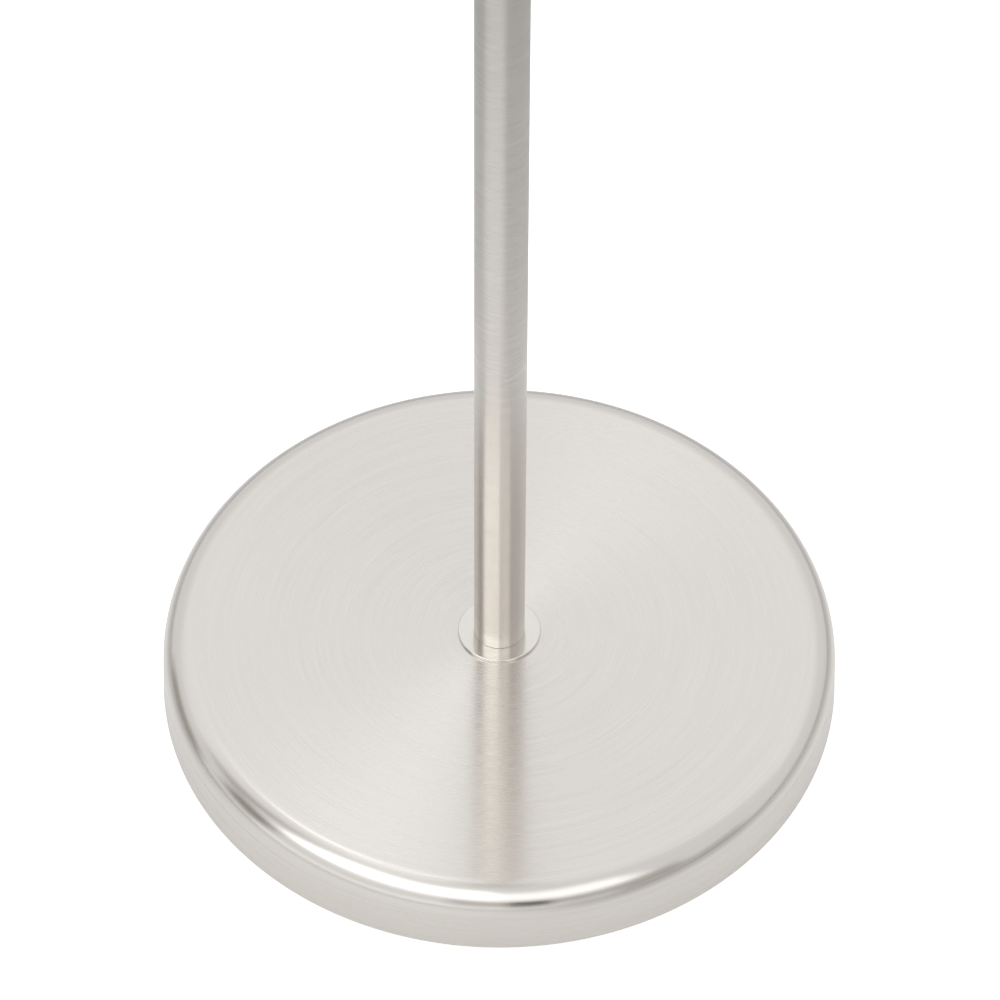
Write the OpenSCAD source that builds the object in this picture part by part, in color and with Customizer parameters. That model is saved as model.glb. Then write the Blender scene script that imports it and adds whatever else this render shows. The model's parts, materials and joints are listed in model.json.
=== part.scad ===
// Torchiere floor lamp: a weighted round base, a four-section pole, a rotary switch
// in a housing at the top of the pole, and an upward glass bowl with a screw-base bulb.
// Millimetres. Z is up, the origin is the middle of the base where it meets the floor,
// and -Y is the front, where the switch knob points.

/* [Overall] */
// Height from the floor to the rim of the bowl
lamp_h = 1800; // [1400:10:2200]

/* [Base] */
// Diameter of the base at its foot
base_d = 254; // [200:2:340]
// Height of the flat top of the base above the floor
base_h = 28.5; // [27:0.5:45]
// Radius of the rounded shoulder
shoulder_r = 11; // [5:0.5:13]
// Lean of the skirt away from vertical, in degrees
skirt_draft = 2; // [0:0.5:5]
// Sheet thickness of the stamped cover
cover_t = 1.2; // [0.8:0.1:2]
// Height of the skirt's lower edge above the floor
skirt_lift = 1.5; // [0.5:0.1:2]
// Thickness of the felt pad under the base
pad_t = 2.5; // [2.2:0.1:5]
// Thickness of the cast ballast plate
ballast_t = 13; // [10:0.5:14]
// Gap between the ballast and the cover around it
ballast_gap = 1; // [0.5:0.1:3]
// Radius of the thin washer under the pole
flange_r = 15.5; // [13:0.1:22]
// Thickness of that washer
flange_t = 1.2; // [0.8:0.1:3]

/* [Pole] */
// Outside diameter of the pole
pole_d = 19; // [17:0.5:26]
// Wall thickness of the pole
pole_wall = 1; // [0.8:0.1:1.5]
// Height of the trim ring at each pole joint
ring_h = 2; // [1:0.5:5]
// How far a trim ring stands proud of the pole
ring_proud = 0.8; // [0.2:0.1:2]
// Length of the threaded insert in each end of a pole section
insert_h = 14; // [10:1:24]

/* [Threaded tube] */
// Outside diameter of the hollow threaded tubes (nipples)
nipple_d = 10; // [9:0.1:11]
// Bore of the nipples, which the lead runs through
nipple_bore = 7; // [6:0.1:7.4]
// Thickness of the base nut
base_nut_h = 5; // [3:0.5:7]
// Thickness of the two lock nuts in the switch housing
lock_nut_h = 4; // [3:0.5:4.5]
// Width of the nuts across their flats
nut_flats = 14; // [13:0.5:17]

/* [Switch] */
// Outside radius of the switch housing
housing_r = 17; // [16:0.5:24]
// Height of the switch housing without its cap
housing_h = 52; // [50:1:80]
// Wall thickness of the switch housing
housing_wall = 2; // [1.5:0.1:2.2]
// Radius of the turning shaft
shaft_r = 3; // [2.5:0.1:3.5]
// Radius of the threaded bushing around the shaft
bushing_r = 5; // [4.5:0.1:6]
// Radius of the knob
knob_r = 9; // [8:0.5:12]
// Length of the knob
knob_l = 14; // [10:0.5:20]

/* [Shade] */
// Outside diameter of the bowl at its rim
bowl_d = 310; // [240:5:400]
// Height of the bowl
bowl_h = 118; // [104:1:180]
// Radius of the flat seat in the middle of the bowl
seat_r = 40; // [36:1:60]
// Thickness of the glass
glass_t = 4; // [3:0.1:5]
// Radius of the metal dish that the bowl sits in
dish_r = 78; // [60:1:100]
// Sheet thickness of the dish and the cup
sheet_t = 1.2; // [0.8:0.1:1.6]
// Thickness of the soft gasket under the glass
gasket_t = 1.5; // [1:0.1:3]
// Height of the cup under the dish
cup_h = 27; // [25:0.5:45]
// Radius of the cup
cup_r = 24; // [23:0.5:32]

/* [Lamp holder] */
// Outside radius of the lamp holder's threaded body
socket_r = 19.5; // [19:0.1:20]
// Height of the lamp holder's body above its base
socket_h = 38; // [36:1:44]
// Radius of the bulb's screw cap (E26)
cap_r = 13; // [12.8:0.1:13.1]
// Widest radius of the bulb
bulb_r = 30; // [24:0.5:32]
// Length of the bulb from its contact to its tip
bulb_l = 104; // [96:1:112]

/* [Cord] */
// Diameter of the lead inside the lamp
lead_d = 4.6; // [4:0.1:5]
// Gap between the felt pad and the flange of the cord's grommet
grommet_lift = 0.5; // [0.3:0.1:3]

/* [Hidden] */
$fn = 96;
arc_steps = 12;
eps = 0.01;
past = 1;            // how far a cut runs past the face it comes out of
thread_gap = 0.05;   // all round, between a nipple or a screw thread and its hole
press_gap = 0.02;    // all round, between a pressed-in piece and its seat
loose_gap = 0.3;     // all round, where a nipple or bushing only passes through
run_gap = 0.05;      // all round, between the turning shaft and its bushing
nipple_r = nipple_d / 2;
pole_r = pole_d / 2;
lead_r = lead_d / 2;
passing_r = nipple_r + loose_gap;

// Base, upwards from the floor.
base_r = base_d / 2;
skirt_reach = base_h - shoulder_r - skirt_lift;
shoulder_c = [base_r - (shoulder_r + skirt_reach * sin(skirt_draft)) / cos(skirt_draft),
              base_h - shoulder_r];
cover_under = base_h - cover_t;
ballast_top = pad_t + ballast_t;
web_t = 5;                            // metal between the nut's recess and the cover
recess_top = cover_under - web_t;
wrench_room = 13;                     // beside the base nut, for a socket wrench
recess_r = nut_flats / 2 + wrench_room;
hub_wall = 8;
hub_r = recess_r + hub_wall;
pad_hole_r = recess_r + hub_wall / 2;
washer_r = nut_flats / 2 + 5;
flat_washer_t = 1.6;
star_washer_t = 1;
star_teeth = 8;
star_tooth_gap = 1.6;                 // width and depth of the notch between two teeth
base_nut_z = recess_top - flat_washer_t - star_washer_t - base_nut_h;
nipple_tail = 1.5;                    // thread showing past a nut
base_nipple_z = base_nut_z - nipple_tail;

// Cord entry, at the back of the skirt. Its two flanges grip the skirt between them.
grommet_wall = 1.6;
grommet_lip = 1.3;                    // how far its flanges stand out
grommet_play = 1;                     // room for the curved skirt between the flanges
grommet_tail = 5;                     // its sleeve, inside the skirt
grommet_bore_r = lead_r + loose_gap;
grommet_r = grommet_bore_r + grommet_wall;
grommet_flange_r = grommet_r + grommet_lip;
grommet_flange_t = 1.5;
grommet_out = base_r + 0.1;           // where the outer flange meets the skirt
grommet_mid = grommet_out - cover_t - grommet_play;
grommet_in = grommet_mid - grommet_tail;
slot_r = grommet_flange_r + 1;        // of the lead's slot through the ballast
lead_z = pad_t + grommet_lift + grommet_flange_r;
lead_entry = 3;                       // how far up the base nipple the lead stands upright
lead_bend_r = base_nipple_z + lead_entry - lead_z;

// Pole, from the washer up to the switch housing, and the head above it.
bowl_z = lamp_h - bowl_h;
dish_z = bowl_z - gasket_t - sheet_t;
cup_z = dish_z - cup_h;
neck_h = 10;
cap_t = 3;
cap_plug = 5;
neck_z = cup_z - neck_h;
cap_z = neck_z - cap_t;
housing_z = cap_z - housing_h;
pole_z = base_h + flange_t;
n_sections = 4;
section_l = (housing_z - pole_z - n_sections * ring_h) / n_sections;
pitch = section_l + ring_h;
insert_r = pole_r - pole_wall - press_gap;
nipple_bite = insert_h - 2;

// Switch, inside its housing.
plate_t = 5;                          // bottom of the housing
switch_z = housing_z + (plate_t + housing_h - cap_plug) / 2;
switch_w = 18;
switch_h = 21;
switch_front = -sqrt(pow(housing_r - housing_wall - press_gap, 2) - pow(switch_w / 2, 2));
bore_depth = 6;                       // of the shaft in the switch body
bushing_reach = 5;                    // how far the bushing sticks out of the housing
bushing_end = -housing_r - bushing_reach;
nut_back = -housing_r - 0.1;
round_nut_t = 3;
round_nut_wall = 3;
knob_gap = 1;                         // between the bushing and the knob
knob_back = bushing_end - knob_gap;
knob_front = knob_back - knob_l;
knob_face_t = 3;
shaft_end = knob_front + knob_face_t;
pointer_w = 1.6;                      // of the ridge on the knob's face
pointer_proud = 0.8;
n_flutes = 18;
flute_r = 1.1;
wire_r = 0.9;
wire_y = 1.2;                         // each wire's distance from the pole's axis
switch_back = wire_y - wire_r - loose_gap;
jacket_end = housing_z + plate_t + lock_nut_h + nipple_tail;
neck_nipple_z = cap_z - cap_plug - lock_nut_h - nipple_tail;

// Lamp holder and bulb.
socket_z = cup_z + sheet_t;
socket_base_h = 12;
socket_base_gap = 4;                  // between the lamp holder's base and the cup's wall
socket_base_r = cup_r - sheet_t - socket_base_gap;
socket_body_z = socket_z + socket_base_h;
socket_top = socket_body_z + socket_h;
socket_floor = 4;
shell_r = cap_r + 0.25;
shell_wall = 0.5;
shell_lift = 2;                       // of the screw shell above the floor
socket_bore_r = shell_r + shell_wall + press_gap;
terminal_r = 1.2;
terminal_head_r = 2.2;
terminal_head_t = 1.4;
terminal_l = 3;
terminal_x = socket_bore_r - 3;
contact_t = 0.8;
contact_stem_r = 2.5;
contact_z = socket_body_z + socket_floor;
contact_rise = 2.2;                   // from the contact's disc to the bulb's tip
bulb_z = contact_z + contact_t + contact_rise;
bulb_top = bulb_z + bulb_l;
tip_r = 4;
tip_t = 1.2;
insulator_foot_r = 4.6;
insulator_h = 4.5;
screw_cap_wall = 1;
screw_cap_h = 21;
screw_cap_z = bulb_z + tip_t + insulator_h;
body_z = screw_cap_z + screw_cap_h;
bulb_waist_r = cap_r + 1.2;
board_margin = 6;                     // of the LED board inside the diffuser's foot
board_t = 1.6;
diffuser_drop = 0.3;                  // how far its foot is below its centre, in radii
diffuser_c = bulb_top - bulb_r;
diffuser_z = diffuser_c - bulb_r * diffuser_drop;
diffuser_base_r = sqrt(pow(bulb_r, 2) - pow(diffuser_c - diffuser_z, 2));
diffuser_t = 1.5;
mouth_gap = 1.2;                      // between the bulb's body and the holder's mouth
mouth_z = body_z - 0.5;               // where the lamp holder widens for the bulb's body
mouth_r = bulb_body_r(max(socket_top, body_z)) + mouth_gap;
shell_top = min(mouth_z, socket_top) - 0.5;
glass_hole_r = socket_r + 1;
gasket_in = 2;                        // margins of the gasket inside the seat
gasket_out = 4;
ring_washer_t = 1;
shade_ring_z = bowl_z + glass_t + ring_washer_t;
shade_ring_h = 9;
shade_ring_r = 28;
shade_ring_step = 3;                  // width of its flange
shade_ring_foot = 2.5;                // height of its flange
bowl_rise = bowl_d / 2 - seat_r;      // how far the bowl spreads past its seat

// ---- Shared shapes ----

function arc(c, r, from, to, steps = arc_steps) =
    [for (i = [0:steps]) let (a = from + (to - from) * i / steps) c + r * [cos(a), sin(a)]];

// A ring or disc between two heights, with a round hole unless hole is 0.
module ring(r, hole, z0, z1) {
    difference() {
        translate([0, 0, z0]) cylinder(r = r, h = z1 - z0);
        if (hole > 0) translate([0, 0, z0 - past]) cylinder(r = hole, h = z1 - z0 + 2 * past);
    }
}

module nipple(z0, z1) ring(nipple_r, nipple_bore / 2, z0, z1);

module hex_nut(z, h) {
    difference() {
        translate([0, 0, z]) cylinder(r = nut_flats / 2 / cos(30), h = h, $fn = 6);
        translate([0, 0, z - past]) cylinder(r = nipple_r + thread_gap, h = h + 2 * past);
    }
}

// A round bar or ring along Y, between two places on that axis, at height z.
module along_y(r, hole, y0, y1, z) {
    translate([0, y1, z]) rotate([90, 0, 0]) ring(r, hole, 0, y1 - y0);
}

// ---- Base ----

// Inside radius of the cover at height z.
function cover_inner_r(z) = z <= shoulder_c[1]
    ? base_r - cover_t / cos(skirt_draft) - (z - skirt_lift) * tan(skirt_draft)
    : shoulder_c[0] + sqrt(pow(shoulder_r - cover_t, 2) - pow(z - shoulder_c[1], 2));

module base_cover() color("silver") difference() {
    rotate_extrude() polygon(concat(
        [[base_r, skirt_lift]],
        arc(shoulder_c, shoulder_r, skirt_draft, 90),
        [[passing_r, base_h], [passing_r, cover_under]],
        arc(shoulder_c, shoulder_r - cover_t, 90, skirt_draft),
        [[base_r - cover_t / cos(skirt_draft), skirt_lift]]));
    along_y(grommet_r + press_gap, 0, base_r - 20, base_r + 5, lead_z);
}

module base_ballast() color("dimgray") difference() {
    union() {
        ring(cover_inner_r(ballast_top) - ballast_gap, 0, pad_t, ballast_top);
        ring(hub_r, 0, pad_t, cover_under);
    }
    translate([0, 0, pad_t - past]) cylinder(r = recess_r, h = recess_top - pad_t + past);
    translate([0, 0, pad_t]) cylinder(r = passing_r, h = base_h);
    translate([-slot_r, 0, pad_t - past]) cube([2 * slot_r, base_r, ballast_t + 2 * past]);
}

module base_pad() color("black") ring(cover_inner_r(skirt_lift) - 1, pad_hole_r, 0, pad_t);

module cord_grommet() color("black") difference() {
    union() {
        along_y(grommet_r, 0, grommet_in, grommet_out + eps, lead_z);
        along_y(grommet_flange_r, 0, grommet_out, grommet_out + grommet_flange_t, lead_z);
        along_y(grommet_flange_r, 0, grommet_mid - grommet_flange_t, grommet_mid, lead_z);
    }
    along_y(grommet_bore_r, 0, grommet_in - past, grommet_out + grommet_flange_t + past, lead_z);
}

module flange_washer() color("gainsboro") ring(flange_r, passing_r, base_h, pole_z);

module base_nipple() color("goldenrod") nipple(base_nipple_z, pole_z + nipple_bite);

module base_flat_washer() color("silver") ring(washer_r, passing_r, recess_top - flat_washer_t, recess_top);

module base_star_washer() color("silver") difference() {
    z = recess_top - flat_washer_t - star_washer_t;
    ring(washer_r - 1, passing_r, z, z + star_washer_t);
    for (i = [0:star_teeth - 1]) rotate(i * 360 / star_teeth)
        translate([washer_r - 1 - star_tooth_gap, -star_tooth_gap / 2, z - past])
            cube([star_tooth_gap + past, star_tooth_gap, star_washer_t + 2 * past]);
}

module base_nut() color("silver") hex_nut(base_nut_z, base_nut_h);

// ---- Pole ----

module pole_section(i) color("silver")
    ring(pole_r, pole_r - pole_wall, pole_z + i * pitch, pole_z + i * pitch + section_l);

module joint_ring(i) color("gainsboro")
    ring(pole_r + ring_proud, passing_r, pole_z + i * pitch + section_l, pole_z + (i + 1) * pitch);

module pole_inserts() color("goldenrod") for (i = [0:n_sections - 1]) {
    z = pole_z + i * pitch;
    ring(insert_r, nipple_r + thread_gap, z, z + insert_h);
    ring(insert_r, nipple_r + thread_gap, z + section_l - insert_h, z + section_l);
}

// One nipple through each trim ring. The highest one reaches into the switch housing.
module joint_nipples() color("goldenrod") for (i = [1:n_sections]) {
    z = pole_z + i * pitch;
    nipple(z - ring_h - nipple_bite, i < n_sections ? z + nipple_bite : jacket_end);
}

// ---- Switch housing ----

module switch_housing() color("silver") difference() {
    translate([0, 0, housing_z]) cylinder(r = housing_r, h = housing_h);
    translate([0, 0, housing_z + plate_t]) cylinder(r = housing_r - housing_wall, h = housing_h);
    translate([0, 0, housing_z - past]) cylinder(r = nipple_r + thread_gap, h = plate_t + 2 * past);
    along_y(bushing_r + loose_gap, 0, -housing_r - past, -housing_r + housing_wall + 2 * past, switch_z);
}

module housing_cap() color("silver") difference() {
    union() {
        ring(housing_r, 0, cap_z, neck_z);
        ring(housing_r - housing_wall - press_gap, 0, cap_z - cap_plug, cap_z + eps);
    }
    translate([0, 0, cap_z - cap_plug - past])
        cylinder(r = nipple_r + thread_gap, h = cap_plug + cap_t + 2 * past);
}

module lock_nuts() color("goldenrod") {
    hex_nut(housing_z + plate_t, lock_nut_h);
    hex_nut(cap_z - cap_plug - lock_nut_h, lock_nut_h);
}

module switch_body() color("saddlebrown") difference() {
    translate([-switch_w / 2, switch_front, switch_z - switch_h / 2])
        cube([switch_w, switch_back - switch_front, switch_h]);
    along_y(shaft_r + loose_gap, 0, switch_front - past, switch_front + bore_depth, switch_z);
}

module switch_bushing() color("goldenrod")
    along_y(bushing_r, shaft_r + run_gap, bushing_end, switch_front, switch_z);

module switch_nut() color("gainsboro")
    along_y(bushing_r + round_nut_wall, bushing_r + thread_gap, nut_back - round_nut_t, nut_back, switch_z);

module switch_shaft() color("silver")
    along_y(shaft_r, 0, shaft_end, switch_front + bore_depth - 0.5, switch_z);

// Fluted round knob with a pointer ridge on its face.
module switch_knob() color("dimgray") difference() {
    union() {
        along_y(knob_r, 0, knob_front, knob_back, switch_z);
        translate([-pointer_w / 2, knob_front - pointer_proud, switch_z + pointer_w / 2])
            cube([pointer_w, pointer_proud + eps, knob_r - pointer_w]);
    }
    along_y(shaft_r + press_gap, 0, shaft_end, knob_back + past, switch_z);
    for (i = [0:n_flutes - 1]) translate([0, 0, switch_z]) rotate([0, (i + 0.5) * 360 / n_flutes, 0])
        translate([0, knob_back + past, knob_r + flute_r / 2]) rotate([90, 0, 0])
            cylinder(r = flute_r, h = knob_l - past, $fn = 24);
}

// ---- Neck, cup and dish ----

// A waisted spacer between the switch housing and the cup.
neck_foot_r = housing_r - 2;
neck_waist_r = nipple_r + 5;
module neck_collar() color("silver") difference() {
    rotate_extrude() polygon(concat(
        [[0, neck_z], [neck_foot_r, neck_z]],
        [for (i = [0:arc_steps]) let (s = i / arc_steps)
            [neck_foot_r - (neck_foot_r - neck_waist_r) * sin(180 * s), neck_z + neck_h * s]],
        [[0, cup_z]]));
    translate([0, 0, neck_z - past]) cylinder(r = passing_r, h = neck_h + 2 * past);
}

module neck_nipple() color("goldenrod") nipple(neck_nipple_z, socket_z + socket_base_h - 3);

cup_corner = 5;
module socket_cup() color("silver") rotate_extrude() polygon(concat(
    [[passing_r, cup_z]],
    arc([cup_r - cup_corner, cup_z + cup_corner], cup_corner, -90, 0),
    [[cup_r, dish_z], [cup_r - sheet_t, dish_z]],
    arc([cup_r - cup_corner, cup_z + cup_corner], cup_corner - sheet_t, 0, -90),
    [[passing_r, socket_z]]));

// Point of the bowl's outer curve at t degrees, moved outwards by d. The curve starts flat
// at the seat and ends upright at the rim.
function bowl_point(t, d) =
    let (n = [bowl_h * sin(t), -bowl_rise * cos(t)])
    [seat_r + bowl_rise * sin(t), bowl_z + bowl_h * (1 - cos(t))] + d * n / norm(n);

// Share of the curve that the dish follows, from its own radius.
dish_turn = asin((dish_r - seat_r) / bowl_rise);
module shade_dish() color("silver") rotate_extrude() polygon(concat(
    [[glass_hole_r, dish_z + sheet_t], [glass_hole_r, dish_z]],
    [for (i = [0:arc_steps]) bowl_point(dish_turn * i / arc_steps, gasket_t + sheet_t)],
    [for (i = [arc_steps:-1:0]) bowl_point(dish_turn * i / arc_steps, gasket_t)]));

module dish_gasket() color("white")
    ring(seat_r - gasket_out, glass_hole_r + gasket_in, bowl_z - gasket_t, bowl_z);

bowl_steps = 28;
module glass_bowl() color("white") rotate_extrude() polygon(concat(
    [[glass_hole_r, bowl_z + glass_t], [glass_hole_r, bowl_z]],
    [for (i = [0:bowl_steps]) bowl_point(90 * i / bowl_steps, 0)],
    [for (i = [bowl_steps:-1:0]) bowl_point(90 * i / bowl_steps, -glass_t)]));

// ---- Lamp holder ----

module socket_base() color("black") ring(socket_base_r, nipple_r + thread_gap, socket_z, socket_body_z);

module terminals(r, h) for (side = [-1, 1]) translate([side * terminal_x, 0, 0]) cylinder(r = r, h = h);

module socket_body() color("white") difference() {
    ring(socket_r, 0, socket_body_z, socket_top);
    translate([0, 0, contact_z]) cylinder(r = socket_bore_r, h = socket_h);
    translate([0, 0, mouth_z]) cylinder(r = mouth_r, h = socket_h);
    translate([0, 0, socket_body_z - past]) cylinder(r = nipple_bore / 2, h = socket_floor + 2 * past);
    translate([0, 0, socket_body_z - past]) terminals(terminal_r + press_gap, socket_floor + 2 * past);
}

module screw_shell() color("goldenrod")
    ring(shell_r + shell_wall, shell_r, contact_z + shell_lift, shell_top);

module center_contact() color("gold") {
    ring(nipple_bore / 2 + 2, 0, contact_z, contact_z + contact_t);
    ring(contact_stem_r, 0, contact_z, bulb_z);
}

module socket_screws() color("silver") {
    translate([0, 0, contact_z]) terminals(terminal_head_r, terminal_head_t);
    translate([0, 0, contact_z - terminal_l]) terminals(terminal_r, terminal_l + eps);
}

module shade_ring() color("white") difference() {
    union() {
        ring(shade_ring_r, 0, shade_ring_z, shade_ring_z + shade_ring_foot);
        ring(shade_ring_r - shade_ring_step, 0, shade_ring_z, shade_ring_z + shade_ring_h);
    }
    translate([0, 0, shade_ring_z - past])
        cylinder(r = socket_r + thread_gap, h = shade_ring_h + 2 * past);
}

module ring_washer() color("gainsboro")
    ring(shade_ring_r + 1, glass_hole_r, bowl_z + glass_t, shade_ring_z);

// ---- Bulb ----

module bulb_tip() color("silver") ring(tip_r, 0, bulb_z, bulb_z + tip_t);

module bulb_insulator() color("black") translate([0, 0, bulb_z + tip_t])
    cylinder(r1 = insulator_foot_r, r2 = cap_r - loose_gap, h = insulator_h);

module bulb_screw_cap() color("silver") ring(cap_r, cap_r - screw_cap_wall, screw_cap_z, body_z);

// Radius of the bulb's body at height z. It flares in an S from its waist to the diffuser.
function bulb_body_r(z) = bulb_waist_r
    + (diffuser_base_r - bulb_waist_r) * (1 - cos(180 * (z - body_z) / (diffuser_z - body_z))) / 2;

module bulb_body() color("white") rotate_extrude() polygon(concat(
    [[0, body_z]],
    [for (i = [0:arc_steps]) let (z = body_z + (diffuser_z - body_z) * i / arc_steps) [bulb_body_r(z), z]],
    [[0, diffuser_z]]));

module led_board() color("gainsboro")
    ring(diffuser_base_r - board_margin, 0, diffuser_z, diffuser_z + board_t);

module bulb_diffuser() color("white") difference() {
    translate([0, 0, diffuser_c]) sphere(r = bulb_r);
    translate([0, 0, diffuser_c]) sphere(r = bulb_r - diffuser_t);
    translate([0, 0, diffuser_z - 2 * bulb_r]) cylinder(r = 2 * bulb_r, h = 2 * bulb_r);
}

// ---- Wiring held inside the lamp ----

lead_back = 1;                        // how far the lead starts behind the grommet

// In from the grommet along the ballast's slot, round a bend under the base nipple and up
// the pole to the switch housing.
module power_lead() color("black") {
    along_y(lead_r, 0, lead_bend_r, grommet_in - lead_back, lead_z);
    translate([0, lead_bend_r, lead_z + lead_bend_r]) rotate([0, 90, 0]) rotate(-90)
        rotate_extrude(angle = 90) translate([lead_bend_r, 0]) circle(r = lead_r);
    translate([0, 0, lead_z + lead_bend_r]) cylinder(r = lead_r, h = jacket_end - lead_z - lead_bend_r);
}

module upright_wire(y, z0, z1) translate([0, y, z0]) cylinder(r = wire_r, h = z1 - z0);

module live_wire() color("sienna") upright_wire(-wire_y, jacket_end, switch_z - switch_h / 2);

module switched_wire() color("sienna") upright_wire(-wire_y, switch_z + switch_h / 2, contact_z);

// Past the back of the switch body and into the socket's floor.
module neutral_wire() color("skyblue") upright_wire(wire_y, jacket_end, socket_body_z + socket_floor / 2);

base_cover();
base_ballast();
base_pad();
cord_grommet();
flange_washer();
base_nipple();
base_flat_washer();
base_star_washer();
base_nut();
pole_section(0);  // pole_section_1
pole_section(1);  // pole_section_2
pole_section(2);  // pole_section_3
pole_section(3);  // pole_section_4
joint_ring(0);  // joint_ring_1
joint_ring(1);  // joint_ring_2
joint_ring(2);  // joint_ring_3
joint_ring(3);  // joint_ring_4
pole_inserts();
joint_nipples();
switch_housing();
housing_cap();
lock_nuts();
switch_body();
switch_bushing();
switch_nut();
switch_shaft();
switch_knob();
neck_collar();
neck_nipple();
socket_cup();
shade_dish();
dish_gasket();
glass_bowl();
socket_base();
socket_body();
screw_shell();
center_contact();
socket_screws();
shade_ring();
ring_washer();
bulb_tip();
bulb_insulator();
bulb_screw_cap();
bulb_body();
led_board();
bulb_diffuser();
power_lead();
live_wire();
neutral_wire();
switched_wire();
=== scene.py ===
import json
import math

import bmesh
import bpy
from mathutils import Matrix, Vector


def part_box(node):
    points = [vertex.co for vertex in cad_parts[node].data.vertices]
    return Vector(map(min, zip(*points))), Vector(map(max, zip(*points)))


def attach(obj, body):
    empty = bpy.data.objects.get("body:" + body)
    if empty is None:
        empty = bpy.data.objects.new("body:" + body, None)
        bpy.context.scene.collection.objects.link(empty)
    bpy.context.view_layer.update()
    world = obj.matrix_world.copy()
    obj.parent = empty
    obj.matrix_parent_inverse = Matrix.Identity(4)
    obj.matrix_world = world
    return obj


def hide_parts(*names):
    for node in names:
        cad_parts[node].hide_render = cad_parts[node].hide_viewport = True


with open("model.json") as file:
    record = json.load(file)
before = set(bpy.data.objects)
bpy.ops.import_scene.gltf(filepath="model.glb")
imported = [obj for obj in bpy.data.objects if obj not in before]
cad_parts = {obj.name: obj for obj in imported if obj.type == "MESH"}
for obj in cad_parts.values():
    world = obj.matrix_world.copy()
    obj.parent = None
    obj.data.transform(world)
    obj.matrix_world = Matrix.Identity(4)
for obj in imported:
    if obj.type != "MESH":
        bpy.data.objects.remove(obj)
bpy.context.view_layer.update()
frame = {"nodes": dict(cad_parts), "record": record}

MM = 0.001

# ---- Sizes that the frame's boxes don't give. They repeat those of the CAD model. ----

SHOULDER_R = 11 * MM
SKIRT_DRAFT = math.radians(2)
COVER_T = 1.2 * MM
PASSING_R = 5.3 * MM
POLE_WALL = 1 * MM
PAD_HOLE_R = 24 * MM
GROMMET_BORE_R = 2.6 * MM
GROMMET_LIP = 1.3 * MM
GROMMET_FLANGE_T = 1.5 * MM
GROMMET_GROOVE = 2.2 * MM
HOUSING_WALL = 2 * MM
HOUSING_FLOOR = 5 * MM
CAP_PLUG_R = 14.98 * MM
CAP_PLUG = 5 * MM
THREADED_R = 5.05 * MM
SHAFT_FIT_R = 3.02 * MM
NECK_WAIST_R = 10 * MM
SHEET_T = 1.2 * MM
CUP_CORNER = 5 * MM
GASKET_T = 1.5 * MM
GLASS_T = 4 * MM
GLASS_HOLE_R = 20.5 * MM
SEAT_R = 40 * MM
SHADE_RING_BORE_R = 19.55 * MM
SHADE_RING_STEP = 3 * MM
SHADE_RING_FOOT = 2.5 * MM
SOCKET_HOLE_R = 3.5 * MM
SOCKET_BORE_R = 13.77 * MM
SOCKET_MOUTH_GAP = 1.2 * MM
SOCKET_FLOOR = 4 * MM
CAP_WALL = 1 * MM
CAP_THREAD = 3.63 * MM
BULB_WAIST_R = 14.2 * MM
DIFFUSER_T = 1.5 * MM


def radius(node):
    low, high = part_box(node)
    return (high.x - low.x) / 2


def heights(node):
    low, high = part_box(node)
    return low.z, high.z


BASE_R = radius("base_cover")
BASE_LOW, BASE_TOP = heights("base_cover")
POLE_R = radius("pole_section_1")
KNOB_LOW, KNOB_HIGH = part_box("switch_knob")
SWITCH_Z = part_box("switch_shaft")[0].z / 2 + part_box("switch_shaft")[1].z / 2
BOWL_R = radius("glass_bowl")
BOWL_LOW, BOWL_TOP = heights("glass_bowl")

# ---- Camera ----

CAMERA_RISE = math.radians(51.08)   # above the horizon, seen from the base
CAMERA_FAR = 2.2523                 # from the middle of the base's top
CAMERA_DROP = math.radians(1.249)   # how far below the picture's centre that middle sits
CAMERA_ROLL = math.radians(0.285)
CAMERA_LENS = 216


def add_camera():
    data = bpy.data.cameras.new("camera")
    data.lens = CAMERA_LENS
    data.sensor_width = 36
    data.clip_end = 50
    camera = bpy.data.objects.new("camera", data)
    bpy.context.scene.collection.objects.link(camera)
    back = Vector((0, -math.cos(CAMERA_RISE), math.sin(CAMERA_RISE)))
    place = Vector((0, 0, BASE_TOP)) + back * CAMERA_FAR
    tilt = math.radians(90) - (CAMERA_RISE - CAMERA_DROP)
    turn = Matrix.Rotation(tilt, 4, "X") @ Matrix.Rotation(CAMERA_ROLL, 4, "Z")
    camera.matrix_world = Matrix.Translation(place) @ turn
    bpy.context.scene.camera = camera


# ---- Node trees ----


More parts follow.
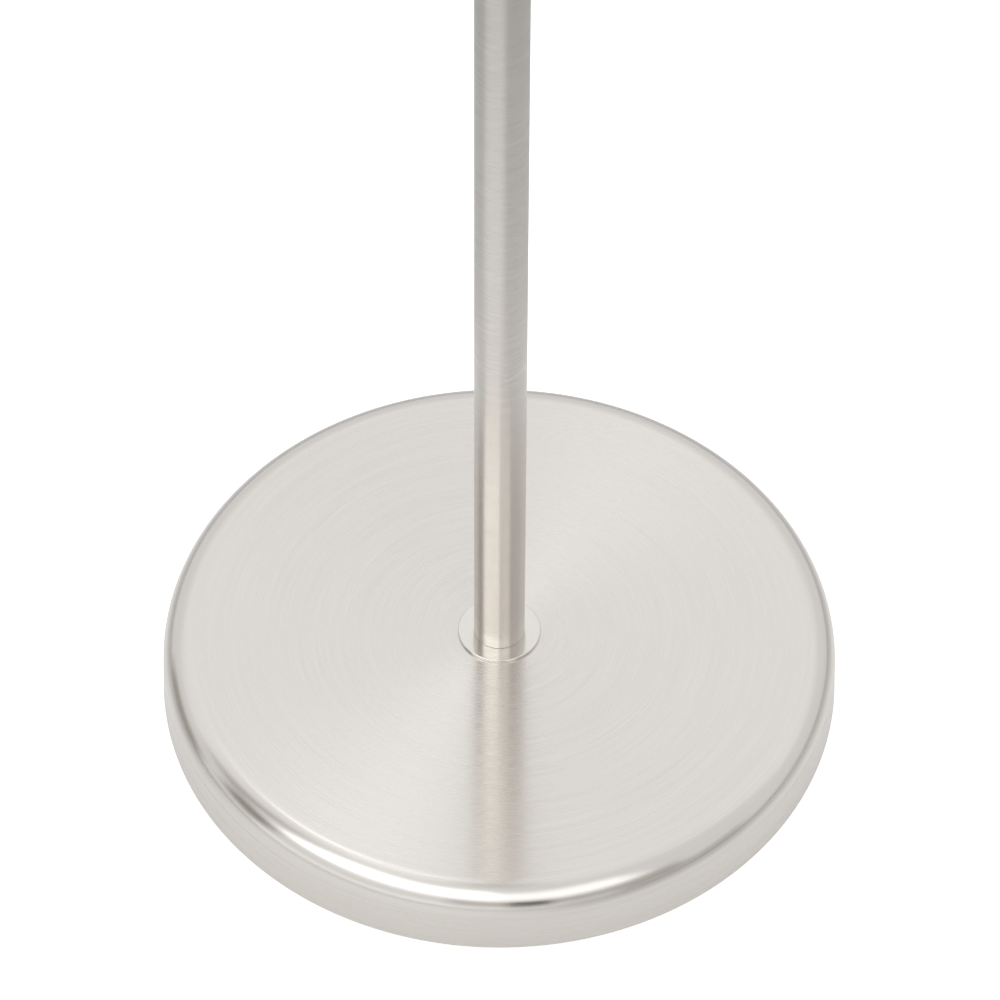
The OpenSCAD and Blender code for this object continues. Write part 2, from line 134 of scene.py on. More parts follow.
class Nodes:
    """A node tree with short calls. An input is a number, a tuple or another node's output."""

    def __init__(self, tree):
        self.tree = tree
        tree.nodes.clear()

    def add(self, kind, inputs=(), **settings):
        node = self.tree.nodes.new(kind)
        for name, value in settings.items():
            setattr(node, name, value)
        for name, value in dict(inputs).items():
            self.put(node.inputs[name], value)
        return node

    def put(self, socket, value):
        if isinstance(value, bpy.types.NodeSocket):
            self.tree.links.new(value, socket)
        else:
            socket.default_value = value

    def finish(self, kind, shader):
        """Adds the output node of that kind, with the shader on its first input."""
        self.tree.links.new(shader.outputs[0], self.add(kind).inputs[0])

    def place(self):
        return self.add("ShaderNodeTexCoord").outputs["Object"]

    def seen(self):
        """1 for what the camera sees directly, and 0 for what only lights or mirrors."""
        return self.add("ShaderNodeLightPath").outputs["Is Camera Ray"]

    def math(self, operation, a, b=0.0):
        return self.add("ShaderNodeMath", {0: a, 1: b}, operation=operation).outputs[0]

    def vector(self, operation, a, b=(0, 0, 0)):
        node = self.add("ShaderNodeVectorMath", {0: a, 1: b}, operation=operation)
        return node.outputs["Value" if operation in ("LENGTH", "DOT_PRODUCT") else "Vector"]

    def split(self, vector):
        return self.add("ShaderNodeSeparateXYZ", {0: vector}).outputs

    def join(self, x, y, z):
        return self.add("ShaderNodeCombineXYZ", {0: x, 1: y, 2: z}).outputs[0]

    def between(self, value, low, high, to_low=0.0, to_high=1.0):
        """A soft step from to_low to to_high, as the value goes from low to high."""
        node = self.add("ShaderNodeMapRange", {0: value, 1: low, 2: high, 3: to_low, 4: to_high},
                        interpolation_type="SMOOTHSTEP")
        return node.outputs[0]

    def noise(self, vector, scale=1.0, detail=2.0, rough=0.5):
        inputs = {"Vector": vector, "Scale": scale, "Detail": detail, "Roughness": rough}
        return self.add("ShaderNodeTexNoise", inputs).outputs[0]

    def mix(self, factor, a, b):
        node = self.add("ShaderNodeMix", {0: factor}, data_type="RGBA")
        self.put(node.inputs[6], (*a, 1) if isinstance(a, tuple) else a)
        self.put(node.inputs[7], (*b, 1) if isinstance(b, tuple) else b)
        return node.outputs[2]

    def bump(self, shader, height, strength, distance):
        inputs = {"Strength": strength, "Distance": distance, "Height": height}
        self.put(shader.inputs["Normal"], self.add("ShaderNodeBump", inputs).outputs[0])


# ---- Floor and light ----

# The studio around the lamp: a pale room, with bright panels and dark flags in it. An azimuth
# of 0 is the camera's side and 90 is the picture's right. Each row is its middle's azimuth,
# half its width, its lowest and highest elevation, its soft edge (all in degrees) and what it
# adds to the room's light.
ROOM = 0.94
DARKEST = 0.05
PANELS = (
    (-40, 36, 40, 69, 7, 1.60),      # main light
    (20, 26, 34, 63, 7, 0.75),       # its dimmer right part
    (180, 78, 36, 100, 8, 0.18),     # pale wall and ceiling at the back
    (-28, 45, -16, 14, 5, 0.30),     # low card at the front
    (20, 34, 12, 30, 4, -0.35),      # gap between the main light and the card
    (9, 6, 8, 33, 3, -0.50),         # a stand in it
    (-166, 8, 58, 70, 4, 1.05),      # small lamp overhead
    (-80, 9, 14, 36, 5, -0.60),      # flag on the left
    (-101, 10, 36, 76, 6, -0.40),    # its upper part
    (-110, 12, -16, 15, 5, -0.50),   # and its foot
    (54, 20, -16, 15, 5, -0.30),     # flag on the right
)
DIM_TINT = (1.06, 1.0, 0.90)
BRIGHT_TINT = (0.985, 1.0, 1.015)
BACKDROP = (1.0, 1.0, 0.995)
MAIN_SIDE = (-0.5, -0.866, 0.0)     # from the lamp towards the main light, along the floor
FLOOR_HALF = 6.0


def add_world():
    """The panels light the lamp and show in its metal. The camera itself sees a plain backdrop."""
    world = bpy.data.worlds.new("studio")
    bpy.context.scene.world = world
    world.use_nodes = True
    n = Nodes(world.node_tree)
    direction = n.vector("NORMALIZE", n.add("ShaderNodeTexCoord").outputs["Generated"])
    rise = n.math("MULTIPLY", n.math("ARCSINE", n.split(direction)[2]), math.degrees(1))
    total = ROOM
    for azimuth, half, low, high, soft, bright in PANELS:
        a = math.radians(azimuth)
        ahead = n.vector("DOT_PRODUCT", direction, (math.sin(a), -math.cos(a), 0))
        aside = n.vector("DOT_PRODUCT", direction, (math.cos(a), math.sin(a), 0))
        turn = n.math("ABSOLUTE", n.math("ARCTAN2", aside, ahead))
        off = n.math("MULTIPLY", turn, math.degrees(1))
        wide = n.between(off, half - soft, half + soft, 1.0, 0.0)
        above = n.between(rise, low - soft, low + soft)
        below = n.between(rise, high - soft, high + soft, 1.0, 0.0)
        share = n.math("MULTIPLY", n.math("MULTIPLY", wide, above), below)
        total = n.math("ADD", total, n.math("MULTIPLY", share, bright))
    total = n.math("MAXIMUM", total, DARKEST)
    tint = n.mix(n.between(total, 0.3, 0.85), DIM_TINT, BRIGHT_TINT)
    light = n.vector("MULTIPLY", n.join(total, total, total), tint)
    n.finish("ShaderNodeOutputWorld", n.add("ShaderNodeBackground", {
        "Color": n.mix(n.seen(), light, BACKDROP), "Strength": 1.0}))


def add_floor():
    """A white floor. Its glow, which lights and mirrors see, is painted light: a painted pool of
    light near the lamp and towards the main light, and a painted falloff that dims it further out,
    where its colour darkens too."""
    signs = ((-1, -1), (1, -1), (1, 1), (-1, 1))
    mesh = bpy.data.meshes.new("floor")
    mesh.from_pydata([(x * FLOOR_HALF, y * FLOOR_HALF, 0) for x, y in signs], [], [(0, 1, 2, 3)])
    floor = bpy.data.objects.new("floor", mesh)
    bpy.context.scene.collection.objects.link(floor)
    material = bpy.data.materials.new("floor_white")
    material.use_nodes = True
    n = Nodes(material.node_tree)
    place = n.place()
    away = n.vector("LENGTH", place)
    # Painted light: this falloff dims both the glow and the grey further out, and the glow is a
    # painted pool of light near the lamp and towards the main light.
    painted_falloff = n.between(away, 0.2, 0.8, 1.0, 0.3)
    towards = n.vector("DOT_PRODUCT", n.vector("NORMALIZE", place), MAIN_SIDE)
    lit = n.math("MAXIMUM", n.between(towards, 0.5, 0.97, 0.03, 0.34),
                 n.between(away, 0.15, 0.21, 0.32, 0.0))
    glow = n.math("MAXIMUM", n.math("MULTIPLY", painted_falloff, lit), n.math("MULTIPLY", n.seen(), 0.8))
    grey = n.math("MULTIPLY", painted_falloff, 0.6)
    n.finish("ShaderNodeOutputMaterial", n.add("ShaderNodeBsdfPrincipled", {
        "Base Color": n.join(grey, grey, grey), "Roughness": 0.8,
        "Emission Color": (*BACKDROP, 1), "Emission Strength": glow}))
    mesh.materials.append(material)


add_camera()
add_world()
add_floor()
bpy.context.scene.view_settings.view_transform = "Standard"

# ---- Materials ----


def new_material(name, **sockets):
    """A material with its principled shader. Sockets are the values that are the same all over."""
    material = bpy.data.materials.new(name)
    material.use_nodes = True
    n = Nodes(material.node_tree)
    inputs = {socket.replace("_", " "): value for socket, value in sockets.items()}
    shader = n.add("ShaderNodeBsdfPrincipled", inputs)
    n.finish("ShaderNodeOutputMaterial", shader)
    return material, n, shader


def tone(n, shader, pattern, colour, spread):
    """The colour, that much darker where the pattern is low and lighter where it is high."""
    dark = tuple(min(1.0, c * (1 - spread)) for c in colour)
    light = tuple(min(1.0, c * (1 + spread)) for c in colour)
    n.put(shader.inputs["Base Color"], n.mix(n.between(pattern, 0.3, 0.7), dark, light))


def turned_place(n, axis, height):
    """Where a place on a turned piece is: its direction round the axis, and how far along the
    section it lies, which the marks of brushing or turning follow."""
    x, y, z = n.split(n.vector("SUBTRACT", n.place(), (0, 0, height)))
    u, v, along = (x, y, z) if axis == "Z" else (x, z, y)
    flat = n.join(u, v, 0.0)
    section = n.math("SUBTRACT", n.vector("LENGTH", flat), along)
    return n.vector("NORMALIZE", flat), section


def brushed(name, colour, rough, aniso, line, spread=0.05, axis="Z", height=0.0, bump=0.25,
            contrast=1.2, ends=5.0, shoulder=1.0):
    """Metal brushed or turned round an axis. The lines are about that wide, and stop and start
    about as often a radian as ends says. Smooth lines lie between rough ones, whose roughness
    differs by that contrast each way. Where the surface leans it is the shoulder's share of that."""
    material, n, shader = new_material(
        name, Metallic=1.0, Anisotropic=aniso, Anisotropic_Rotation=0.25)
    around, section = turned_place(n, axis, height)
    a, b, _ = n.split(around)
    fine = n.noise(n.join(n.math("MULTIPLY", a, ends), n.math("MULTIPLY", b, ends),
                          n.math("DIVIDE", section, line)), 1.0, 3.0, 0.6)
    broad = n.noise(n.join(a, b, n.math("DIVIDE", section, 14 * line)), 1.0, 2.0, 0.5)
    marks = n.math("ADD", n.math("MULTIPLY", fine, 0.8), n.math("MULTIPLY", broad, 0.2))
    roughness = n.between(marks, 0.38, 0.62, rough * contrast, rough / contrast)
    if shoulder < 1.0:
        _, _, up = n.split(n.add("ShaderNodeTexCoord").outputs["Normal"])
        leaning = n.math("MULTIPLY", n.between(up, 0.05, 0.2), n.between(up, 0.9, 0.99, 1.0, 0.0))
        share = n.between(leaning, 0.0, 1.0, 1.0, shoulder)
        roughness = n.math("MULTIPLY", roughness, share)
    tone(n, shader, marks, colour, spread)
    n.put(shader.inputs["Roughness"], roughness)
    n.bump(shader, fine, bump, 0.02 * MM)
    n.put(shader.inputs["Tangent"], n.add(
        "ShaderNodeTangent", direction_type="RADIAL", axis=axis).outputs[0])
    return material


def grained(name, colour, rough, grain, bump=0.2, depth=0.03 * MM, spread=0.06, **sockets):
    """A moulded, cast or pressed surface with a grain of about that size."""
    material, n, shader = new_material(name, **sockets)
    place = n.place()
    fine = n.noise(place, 1 / grain, 4.0, 0.6)
    broad = n.noise(place, 1 / (22 * grain), 3.0, 0.55)
    mottle = n.math("ADD", n.math("MULTIPLY", fine, 0.5), n.math("MULTIPLY", broad, 0.5))
    tone(n, shader, mottle, colour, spread)
    n.put(shader.inputs["Roughness"], n.between(broad, 0.3, 0.7, rough * 0.9, rough * 1.1))
    n.bump(shader, fine, bump, depth)
    return material


def opal_glass():
    """White glass with faint drawn-out clouds and a satin skin."""
    material, n, shader = new_material(
        "opal_glass", Subsurface_Weight=0.55, Subsurface_Scale=0.03,
        Subsurface_Radius=(1.0, 0.92, 0.8), IOR=1.5, Coat_Weight=0.25, Coat_Roughness=0.18)
    place = n.place()
    swirl = n.noise(place, 9.0, 2.0, 0.5)
    pull = n.join(n.math("MULTIPLY", swirl, 0.12), 0.0, n.math("MULTIPLY", swirl, 0.05))
    clouds = n.noise(n.vector("ADD", place, pull), 16.0, 4.0, 0.55)
    fine = n.noise(place, 1 / (0.4 * MM), 3.0, 0.6)
    n.put(shader.inputs["Base Color"], n.mix(
        n.between(clouds, 0.32, 0.68), (0.93, 0.915, 0.88), (0.86, 0.835, 0.785)))
    n.put(shader.inputs["Roughness"], n.between(clouds, 0.3, 0.7, 0.30, 0.38))
    n.bump(shader, fine, 0.12, 0.02 * MM)
    return material


def felt():
    """Pressed fibres: short crossing streaks, a soft nap and no gloss."""
    material, n, shader = new_material(
        "felt", Sheen_Weight=0.35, Sheen_Roughness=0.6, Specular_IOR_Level=0.15)
    x, y, z = n.split(n.place())
    one = n.noise(n.join(n.math("MULTIPLY", x, 0.25), y, z), 1 / (0.35 * MM), 4.0, 0.7)
    two = n.noise(n.join(x, n.math("MULTIPLY", y, 0.25), z), 1 / (0.4 * MM), 4.0, 0.7)
    fibres = n.math("MULTIPLY", n.math("ADD", one, two), 0.5)
    n.put(shader.inputs["Base Color"], n.mix(
        n.between(fibres, 0.35, 0.65), (0.018, 0.018, 0.02), (0.085, 0.085, 0.09)))
    n.put(shader.inputs["Roughness"], n.between(fibres, 0.3, 0.7, 0.88, 0.98))
    n.bump(shader, fibres, 0.7, 0.2 * MM)
    return material


NICKEL = (0.655, 0.62, 0.58)
ZINC = (0.66, 0.66, 0.62)
BRASS = (0.74, 0.55, 0.27)
MATERIALS = {
    "brushed_nickel": brushed("brushed_nickel", NICKEL, 0.21, 0.88, 0.2 * MM, 0.02, bump=0.03,
                              contrast=1.35, ends=2.0),
    "base_nickel": brushed("base_nickel", NICKEL, 0.21, 0.88, 0.2 * MM, 0.02, bump=0.03,
                           contrast=1.35, ends=2.0, shoulder=0.75),
    "pole_nickel": brushed("pole_nickel", NICKEL, 0.21, 0.94, 0.2 * MM, 0.01, bump=0.02,
                           contrast=1.25, ends=1.0),
    "polished_nickel": brushed("polished_nickel", (0.685, 0.655, 0.61), 0.13, 0.5, 0.3 * MM, 0.03),
    "switch_nickel": brushed("switch_nickel", (0.68, 0.665, 0.635), 0.18, 0.5, 0.3 * MM, 0.03,
                             "Y", SWITCH_Z),
    "ballast_iron": grained("ballast_iron", (0.13, 0.13, 0.14), 0.62, 1.2 * MM, 0.6, 0.5 * MM, 0.25),
    "felt": felt(),
    "black_rubber": grained("black_rubber", (0.028, 0.028, 0.03), 0.55, 0.5 * MM, 0.25),
    "white_rubber": grained("white_rubber", (0.75, 0.74, 0.70), 0.45, 0.8 * MM, 0.15),
    "zinc_steel": brushed("zinc_steel", ZINC, 0.34, 0.5, 0.4 * MM, 0.08),
    "brass": brushed("brass", BRASS, 0.26, 0.5, 0.4 * MM, 0.07),
    "switch_brass": brushed("switch_brass", BRASS, 0.26, 0.5, 0.4 * MM, 0.07, "Y", SWITCH_Z),
    "switch_steel": brushed("switch_steel", ZINC, 0.3, 0.5, 0.4 * MM, 0.06, "Y", SWITCH_Z),
    "phenolic": grained("phenolic", (0.035, 0.031, 0.029), 0.3, 0.7 * MM, 0.15),
    "black_plastic": grained("black_plastic", (0.025, 0.025, 0.027), 0.34, 0.35 * MM, 0.3),
    "white_plastic": grained("white_plastic", (0.80, 0.80, 0.78), 0.42, 0.35 * MM, 0.25,
                             spread=0.02),
    "bulb_plastic": grained("bulb_plastic", (0.88, 0.87, 0.84), 0.48, 0.5 * MM, 0.15, spread=0.015,
                            Subsurface_Weight=0.3, Subsurface_Scale=0.004,
                            Subsurface_Radius=(1.0, 0.95, 0.88)),
    "bulb_cap_metal": brushed("bulb_cap_metal", (0.78, 0.78, 0.77), 0.25, 0.4, 0.5 * MM, 0.05),
    "circuit_board": grained("circuit_board", (0.84, 0.85, 0.84), 0.35, 0.6 * MM, 0.1, spread=0.03),
    "opal_glass": opal_glass(),
    "cord_plastic": grained("cord_plastic", (0.03, 0.03, 0.032), 0.4, 0.5 * MM, 0.15),
    "neutral_plastic": grained("neutral_plastic", (0.78, 0.78, 0.76), 0.4, 0.5 * MM, 0.15),
}
SLOTS = {s["node"]: s["material_slot"] for s in frame["record"]["subparts"]}

# ---- Mesh helpers ----


def arc(centre, r, start, end, steps=10):
    """Points on an arc between two angles in degrees."""
    angles = [math.radians(start + (end - start) * i / steps) for i in range(steps + 1)]
    return [(centre[0] + r * math.cos(a), centre[1] + r * math.sin(a)) for a in angles]


def rounded(points, steps=4):
    """A closed outline in which a point with a third value has its corner rounded by about
    that radius, or by less where its sides are short."""
    outline = []
    for i, point in enumerate(points):
        corner = Vector(point[:2])
        if len(point) == 2:
            outline.append(tuple(corner))
            continue
        before = Vector(points[i - 1][:2]) - corner
        after = Vector(points[(i + 1) % len(points)][:2]) - corner
        reach = min(point[2] / math.tan(before.angle(after) / 2),
                    0.45 * before.length, 0.45 * after.length)
        start, end = corner + before.normalized() * reach, corner + after.normalized() * reach
        for k in range(steps + 1):
            t = k / steps
            outline.append(tuple(start * (1 - t) ** 2 + corner * 2 * t * (1 - t) + end * t ** 2))
    return outline


def stations(outline, longest, closed=True):
    """The outline with extra points, so that none of its sides is longer than that. If it
    isn't closed, the side from its last point to its first one is left alone."""
    ends = outline[1:] + outline[:1] if closed else outline[1:]
    dense = []
    for (x0, y0), (x1, y1) in zip(outline, ends):
        count = max(1, math.ceil(math.hypot(x1 - x0, y1 - y0) / longest))
        dense += [(x0 + (x1 - x0) * k / count, y0 + (y1 - y0) * k / count) for k in range(count)]
    return dense if closed else dense + [outline[-1]]


def lathe(name, outline, steps=96, turn=None, shape=None):
    """A turned solid. The outline holds (radius, height) points round its section, and runs
    from axis to axis where the solid has no hole. shape gives a point's radius by its angle,
    radius and height, for a piece with flutes or a thread. turn is a matrix that places it."""
    mesh = bmesh.new()
    rings = []
    for r, z in outline:
        on_axis = r < 1e-7
        angles = [0.0] if on_axis else [math.tau * k / steps for k in range(steps)]
        ring = []
        for a in angles:
            out = r if on_axis or not shape else shape(a, r, z)
            ring.append(mesh.verts.new((out * math.cos(a), out * math.sin(a), z)))
        rings.append(ring)
    pairs = list(zip(rings, rings[1:]))
    if len(rings[0]) > 1 or len(rings[-1]) > 1:
        pairs.append((rings[-1], rings[0]))
    for a, b in pairs:
        for k in range(steps):
            m = (k + 1) % steps
            corners = [a[k % len(a)], a[m % len(a)], b[m % len(b)], b[k % len(b)]]
            mesh.faces.new(list(dict.fromkeys(corners)))
    bmesh.ops.recalc_face_normals(mesh, faces=mesh.faces)
    if turn:
        mesh.transform(turn)
    return to_object(name, mesh)


def to_object(name, mesh):
    data = bpy.data.meshes.new(name)
    mesh.to_mesh(data)
    mesh.free()
    data.shade_smooth()
    piece = bpy.data.objects.new(name, data)
    bpy.context.scene.collection.objects.link(piece)
    even = piece.modifiers.new("even_normals", "WEIGHTED_NORMAL")
    even.keep_sharp = True
    return piece


def finish_piece(piece, node, material=None, body="lamp"):
    """The piece stands for that node, which it hides: it gets the material named by the node's slot,
    or the one given, and rides its body.
    """
    slot = SLOTS[node]
    piece.data.materials.append(MATERIALS[material or slot])
    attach(piece, body)
    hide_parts(node)


# ---- Base ----


def make_cover():
    """The stamped cover: a leaning skirt, a round shoulder and a flat top with a hole."""
    centre_z = BASE_TOP - SHOULDER_R
    lean = (SHOULDER_R + (centre_z - BASE_LOW) * math.sin(SKIRT_DRAFT)) / math.cos(SKIRT_DRAFT)
    centre = (BASE_R - lean, centre_z)
    draft = math.degrees(SKIRT_DRAFT)
    outline = [(BASE_R, BASE_LOW, 0.4 * MM)]
    outline += arc(centre, SHOULDER_R, draft, 90, 24)
    outline += [(PASSING_R, BASE_TOP), (PASSING_R, BASE_TOP - COVER_T)]
    outline += arc(centre, SHOULDER_R - COVER_T, 90, draft, 16)
    outline += [(BASE_R - COVER_T / math.cos(SKIRT_DRAFT), BASE_LOW, 0.4 * MM)]
    finish_piece(lathe("cover", rounded(outline), 256), "base_cover", "base_nickel")


def make_flange():
    low, high = heights("flange_washer")
    r = radius("flange_washer")
    outline = [(r, low, 0.2 * MM), (r, high, 0.6 * MM), (PASSING_R, high), (PASSING_R, low)]
    finish_piece(lathe("flange", rounded(outline, 6), 128), "flange_washer")


def make_pad():
    low, high = heights("base_pad")
    r = radius("base_pad")
    edge = 0.7 * MM
    outline = [(r, low, edge), (r, high, edge), (PAD_HOLE_R, high, edge), (PAD_HOLE_R, low, edge)]
    pad = lathe("pad", rounded(outline), 160)
    finish_piece(pad, "base_pad")


def make_grommet():
    """A rubber grommet, whose groove takes the edge of the hole in the skirt."""
    low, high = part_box("cord_grommet")
    flange_r = (high.x - low.x) / 2
    sleeve_r = flange_r - GROMMET_LIP
    out = high.y - GROMMET_FLANGE_T
    mid = out - GROMMET_GROOVE
    inner = mid - GROMMET_FLANGE_T
    outline = [(GROMMET_BORE_R, low.y, 0.3 * MM), (sleeve_r, low.y, 0.5 * MM), (sleeve_r, inner),
               (flange_r, inner, 0.4 * MM), (flange_r, mid, 0.2 * MM), (sleeve_r, mid),
               (sleeve_r, out), (flange_r, out, 0.2 * MM), (flange_r, high.y, 0.9 * MM),
               (GROMMET_BORE_R, high.y, 0.5 * MM)]
    backwards = Matrix.Rotation(math.radians(-90), 4, "X")
    turn = Matrix.Translation((0, 0, (low.z + high.z) / 2)) @ backwards
    finish_piece(lathe("grommet", rounded(outline), 64, turn), "cord_grommet")


# ---- Pole ----


def make_pole():
    """The four sections of tube, each with the trim ring on the joint above it."""
    for i in range(1, 5):
        node = f"pole_section_{i}"
        low, high = heights(node)
        bore = POLE_R - POLE_WALL
        outline = [(POLE_R, low, 0.25 * MM), (POLE_R, high, 0.25 * MM), (bore, high), (bore, low)]
        finish_piece(lathe(f"pole_{i}", rounded(outline), 96), node, "pole_nickel")
        node = f"joint_ring_{i}"
        low, high = heights(node)
        r = radius(node)
        outline = [(r, low, 0.8 * MM), (r, high, 0.8 * MM), (PASSING_R, high), (PASSING_R, low)]
        finish_piece(lathe(f"ring_{i}", rounded(outline, 5), 96), node)


# ---- Switch ----

# The switch's axis: what is turned along Z then points forwards, to -Y.
FORWARD = Matrix.Translation((0, 0, SWITCH_Z)) @ Matrix.Rotation(math.radians(90), 4, "X")
KNURLS = 36
FLUTES = 18
FACE_DROP = 0.8 * MM                # from the top of the knob's pointer to its face
POINTER_W = 1.6 * MM
POINTER_H = 1.3 * MM


def make_housing():
    low, high = heights("switch_housing")
    r = radius("switch_housing")
    inner = r - HOUSING_WALL
    floor = low + HOUSING_FLOOR
    outline = [(r, low, 1.0 * MM), (r, high, 0.3 * MM), (inner, high), (inner, floor),
               (THREADED_R, floor), (THREADED_R, low)]
    finish_piece(lathe("housing", rounded(outline), 128), "switch_housing")


def make_housing_cap():
    low, high = heights("housing_cap")
    r = radius("switch_housing")
    seam = low + CAP_PLUG
    outline = [(THREADED_R, low), (CAP_PLUG_R, low), (CAP_PLUG_R, seam), (r, seam, 0.3 * MM),
               (r, high, 1.0 * MM), (THREADED_R, high)]
    finish_piece(lathe("cap", rounded(outline), 128), "housing_cap")


def make_switch_nut():
    """A round nut with a knurled edge."""
    low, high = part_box("switch_nut")
    edge = (high.x - low.x) / 2
    back, front = -high.y, -low.y
    outline = rounded([(THREADED_R, back), (edge, back, 0.3 * MM), (edge, front, 0.5 * MM),
                       (THREADED_R, front)])

    def knurl(a, r, z):
        return r - 0.35 * MM * (0.5 - 0.5 * math.cos(KNURLS * a)) if r > 0.8 * edge else r

    finish_piece(lathe("switch_ring_nut", stations(outline, 1.5 * MM), 216, FORWARD, knurl),
                 "switch_nut", "switch_nickel")


def make_knob():
    """A fluted knob with a slightly dished face."""
    back, front = -KNOB_HIGH.y, -KNOB_LOW.y - FACE_DROP
    edge = (KNOB_HIGH.x - KNOB_LOW.x) / 2
    bore = front - 3 * MM
    skirt = back + 1 * MM
    dish = front - 0.5 * MM
    outline = rounded([
        (0, bore), (SHAFT_FIT_R, bore), (SHAFT_FIT_R, back, 0.2 * MM), (edge, back, 0.3 * MM),
        (edge, front, 1.6 * MM), (0.62 * edge, front, 0.8 * MM), (0.5 * edge, dish, 0.8 * MM),
        (0, dish)])

    def flutes(a, r, z):
        if r < 0.8 * edge or z < skirt:
            return r
        depth = 0.6 * MM * min(1, (z - skirt) / (1 * MM))
        return r - depth * max(0.0, math.cos(FLUTES * a + math.pi)) ** 0.6

    knob = lathe("knob", stations(outline, 1.2 * MM, closed=False), 216, FORWARD, flutes)
    make_pointer(edge, front)
    finish_piece(knob, "switch_knob", body="knob")


def make_pointer(edge, front):
    """The white ridge on the knob's face, from near its middle towards its edge."""
    ridge = bmesh.new()
    bmesh.ops.create_cube(ridge, size=1)
    length = 0.72 * edge
    middle = Vector((0, 0.2 * edge + length / 2 - 0.03 * edge, front + FACE_DROP - POINTER_H / 2))
    for v in ridge.verts:
        v.co = Vector((v.co.x * POINTER_W, v.co.y * length, v.co.z * POINTER_H)) + middle
    bmesh.ops.bevel(ridge, geom=ridge.edges[:], offset=0.3 * MM, segments=3, affect="EDGES")
    ridge.transform(FORWARD)
    pointer = to_object("knob_pointer", ridge)
    pointer.data.materials.append(MATERIALS["white_plastic"])
    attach(pointer, "knob")


# ---- Head ----

RIBS = 24
LIP_OUT = 1.5 * MM                  # how far the dish's lip lies outside the bowl's curve
RIM_H = 1.5 * MM                    # height of the bowl's rounded rim
QUARTER_TURN = 1.57


def bowl_point(share, out):
    """Point of the bowl's outer curve, share of the way from its seat to its rim, moved
    outwards. The curve starts flat at the seat and ends upright at the rim."""
    t = math.radians(90) * share
    rise, spread = BOWL_TOP - BOWL_LOW, BOWL_R - SEAT_R
    normal = Vector((rise * math.sin(t), -spread * math.cos(t))).normalized()
    point = Vector((SEAT_R + spread * math.sin(t), BOWL_LOW + rise * (1 - math.cos(t))))
    return tuple(point + normal * out)


def make_neck():
    """The collar between the switch and the cup, with a waist."""
    low, high = heights("neck_collar")
    foot = radius("neck_collar")
    sides = 16
    curve = [(foot - (foot - NECK_WAIST_R) * math.sin(math.pi * k / sides),
              low + (high - low) * k / sides) for k in range(sides + 1)]
    outline = [(PASSING_R, low)] + curve + [(PASSING_R, high)]
    finish_piece(lathe("neck", outline, 96), "neck_collar")


def make_cup():
    low, high = heights("socket_cup")
    r = radius("socket_cup")
    centre = (r - CUP_CORNER, low + CUP_CORNER)
    outline = [(PASSING_R, low)] + arc(centre, CUP_CORNER, -90, 0, 12)
    outline += [(r, high, 0.2 * MM), (r - SHEET_T, high, 0.2 * MM)]
    outline += arc(centre, CUP_CORNER - SHEET_T, 0, -90, 12) + [(PASSING_R, low + SHEET_T)]
    finish_piece(lathe("cup", rounded(outline), 128), "socket_cup")


def make_dish():
    """The dish under the bowl, with a half-round lip."""
    lip_r = radius("shade_dish") - LIP_OUT
    reach = math.asin((lip_r - SEAT_R) / (BOWL_R - SEAT_R)) / math.radians(90)
    steps = 20
    outer = [bowl_point(reach * k / steps, GASKET_T + SHEET_T) for k in range(steps + 1)]
    inner = [bowl_point(reach * k / steps, GASKET_T) for k in range(steps, -1, -1)]
    turns = [math.pi * k / 6 for k in range(1, 6)]
    lip = [bowl_point(reach * (1 + 0.006 * math.sin(t)),
                      GASKET_T + SHEET_T * (0.5 + 0.5 * math.cos(t))) for t in turns]
    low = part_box("shade_dish")[0].z
    outline = [(GLASS_HOLE_R, low + SHEET_T), (GLASS_HOLE_R, low)] + outer + lip + inner
    finish_piece(lathe("dish", outline, 160), "shade_dish")


def make_bowl():
    """The glass bowl, with a hole in its seat and a half-round rim."""
    steps = 48
    rim = RIM_H / (BOWL_TOP - BOWL_LOW) / QUARTER_TURN
    outer = [bowl_point((1 - rim) * k / steps, 0) for k in range(steps + 1)]
    inner = [bowl_point((1 - rim) * k / steps, -GLASS_T) for k in range(steps, -1, -1)]
    middle = Vector(outer[-1]) / 2 + Vector(inner[0]) / 2
    half = (Vector(outer[-1]) - Vector(inner[0])).length / 2
    turns = [math.pi * k / 10 for k in range(1, 10)]
    lip = [(middle.x + half * math.cos(t),
            middle.y + (BOWL_TOP - middle.y) * math.sin(t)) for t in turns]
    hole = [(GLASS_HOLE_R, BOWL_LOW + GLASS_T, 0.8 * MM), (GLASS_HOLE_R, BOWL_LOW, 0.8 * MM)]
    finish_piece(lathe("bowl", rounded(hole + outer + lip + inner), 192), "glass_bowl")


def make_shade_ring():
    """The ring that holds the bowl down, with ribs to grip it by."""
    low, high = heights("shade_ring")
    edge = radius("shade_ring")
    hub = edge - SHADE_RING_STEP
    foot = low + SHADE_RING_FOOT
    bore = SHADE_RING_BORE_R
    outline = rounded([(bore, low, 0.2 * MM), (edge, low, 0.3 * MM), (edge, foot, 0.8 * MM),
                       (hub, foot), (hub, high, 0.8 * MM), (bore, high, 0.5 * MM)])

    def ribs(a, r, z):
        if abs(r - hub) > 0.9 * MM or z < foot + 0.2 * MM:
            return r
        return r - 0.7 * MM * (0.5 - 0.5 * math.cos(RIBS * a)) ** 3

    finish_piece(lathe("bowl_ring", stations(outline, 1.5 * MM), 240, None, ribs), "shade_ring")


# ---- Lamp holder and bulb ----


def thread(pitch, depth, low, high):
    """A rolled thread between two heights, which fades in and out over half a turn."""
    def shape(a, r, z):
        fade = max(0.0, min(1.0, (z - low) / (0.5 * pitch), (high - z) / (0.5 * pitch)))
        return r - depth * fade * (0.5 - 0.5 * math.cos(math.tau * z / pitch - a))
    return shape


def bulb_body_r(z):
    """The bulb's radius at height z, an S from its waist to the diffuser."""
    low, high = heights("bulb_body")
    flare = (1 - math.cos(math.pi * (z - low) / (high - low))) / 2
    return BULB_WAIST_R + (radius("bulb_body") - BULB_WAIST_R) * flare


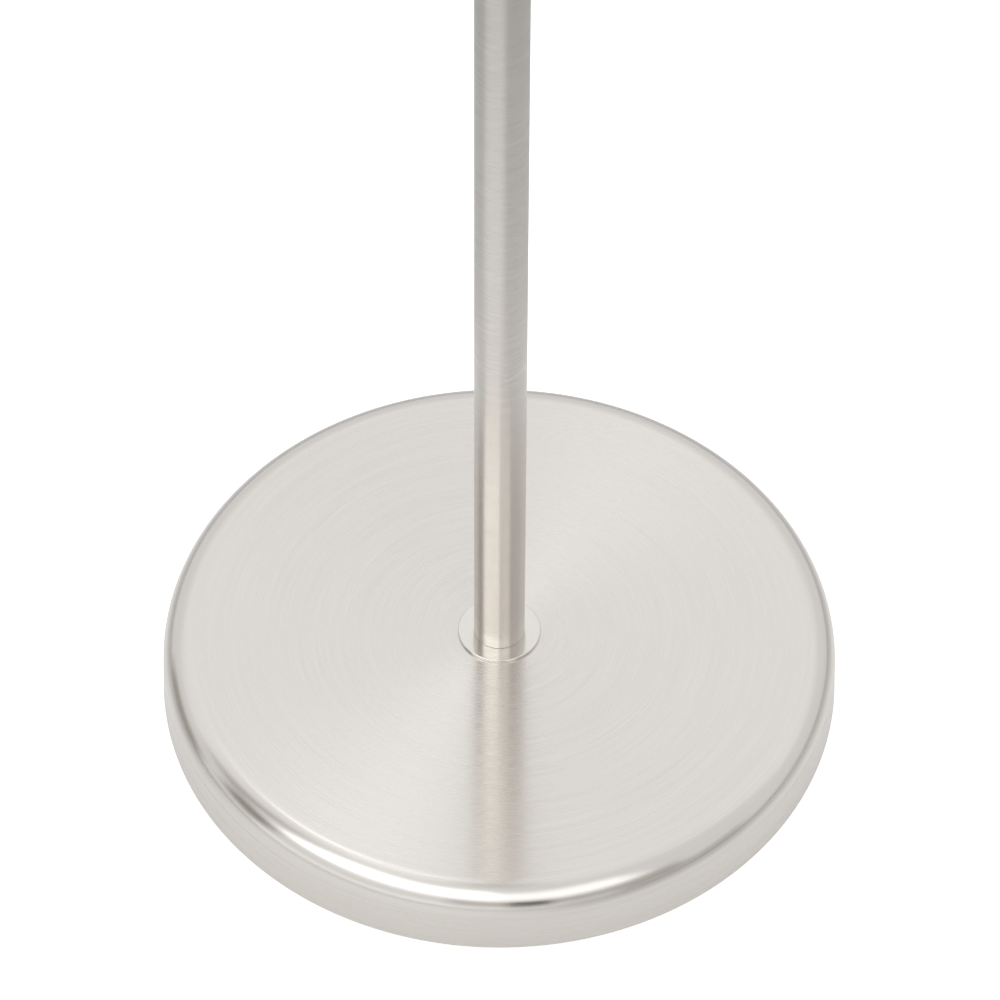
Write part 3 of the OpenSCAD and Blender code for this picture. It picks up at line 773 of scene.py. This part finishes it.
def make_socket():
    """The lamp holder's body, threaded outside, with a mouth that takes the bulb's flare."""
    low, high = heights("socket_body")
    edge = radius("socket_body")
    floor = low + SOCKET_FLOOR
    step = heights("bulb_body")[0] - 0.5 * MM
    mouth = bulb_body_r(high) + SOCKET_MOUTH_GAP
    outline = rounded([(SOCKET_HOLE_R, low), (edge, low, 0.5 * MM), (edge, high, 0.8 * MM),
                       (mouth, high, 0.6 * MM), (mouth, step), (SOCKET_BORE_R, step, 0.3 * MM),
                       (SOCKET_BORE_R, floor), (SOCKET_HOLE_R, floor)])
    turns = thread(2.5 * MM, 0.5 * MM, low + 6 * MM, high - 2 * MM)

    def outside(a, r, z):
        return turns(a, r, z) if r > 0.9 * edge else r

    finish_piece(lathe("socket", stations(outline, 0.5 * MM), 96, None, outside), "socket_body")


def make_bulb_cap():
    """The bulb's screw cap, with a rolled thread outside."""
    low, high = heights("bulb_screw_cap")
    edge = radius("bulb_screw_cap")
    bore = edge - CAP_WALL
    outline = rounded([(bore, low), (edge, low, 0.5 * MM), (edge, high, 0.3 * MM), (bore, high)])
    turns = thread(CAP_THREAD, 0.75 * MM, low + 1 * MM, high - 4 * MM)

    def outside(a, r, z):
        return turns(a, r, z) if r > edge - 0.6 * MM else r

    finish_piece(lathe("bulb_cap", stations(outline, 0.45 * MM), 96, None, outside),
                 "bulb_screw_cap")


def make_bulb_housing():
    low, high = heights("bulb_body")
    top = radius("bulb_body")
    steps = 24
    rises = [low + (high - low) * k / steps for k in range(steps)]
    curve = [(bulb_body_r(z), z) for z in rises] + [(top, high - 0.3 * MM)]
    outline = [(0, low)] + curve + [(top - 0.4 * MM, high), (0, high)]
    finish_piece(lathe("bulb_housing", outline, 128), "bulb_body")


def make_bulb_dome():
    """The hollow diffuser: part of a ball, open where it meets the bulb's body."""
    low, high = heights("bulb_diffuser")
    r = radius("bulb_diffuser")
    centre = high - r
    start = math.degrees(math.asin((low - centre) / r))
    inside = math.degrees(math.asin((low - centre) / (r - DIFFUSER_T)))
    shell = arc((0, centre), r - DIFFUSER_T, 90, inside, 32) + arc((0, centre), r, start, 90, 32)
    finish_piece(lathe("bulb_dome", shell, 128), "bulb_diffuser")


make_cover()
make_flange()
make_pad()
make_grommet()
make_pole()
make_housing()
make_housing_cap()
make_switch_nut()
make_knob()
make_neck()
make_cup()
make_dish()
make_bowl()
make_shade_ring()
make_socket()
make_bulb_cap()
make_bulb_housing()
make_bulb_dome()

# ---- CAD nodes that stay ----

SWITCH_METAL = {"switch_bushing": "switch_brass", "switch_shaft": "switch_steel"}


def dress_nodes():
    """Gives each CAD node that still shows the material named by its slot, or its switch metal."""
    for name, node in frame["nodes"].items():
        if node.hide_render:
            continue
        node.data.materials.clear()
        node.data.materials.append(MATERIALS[SWITCH_METAL.get(name, SLOTS[name])])


dress_nodes()
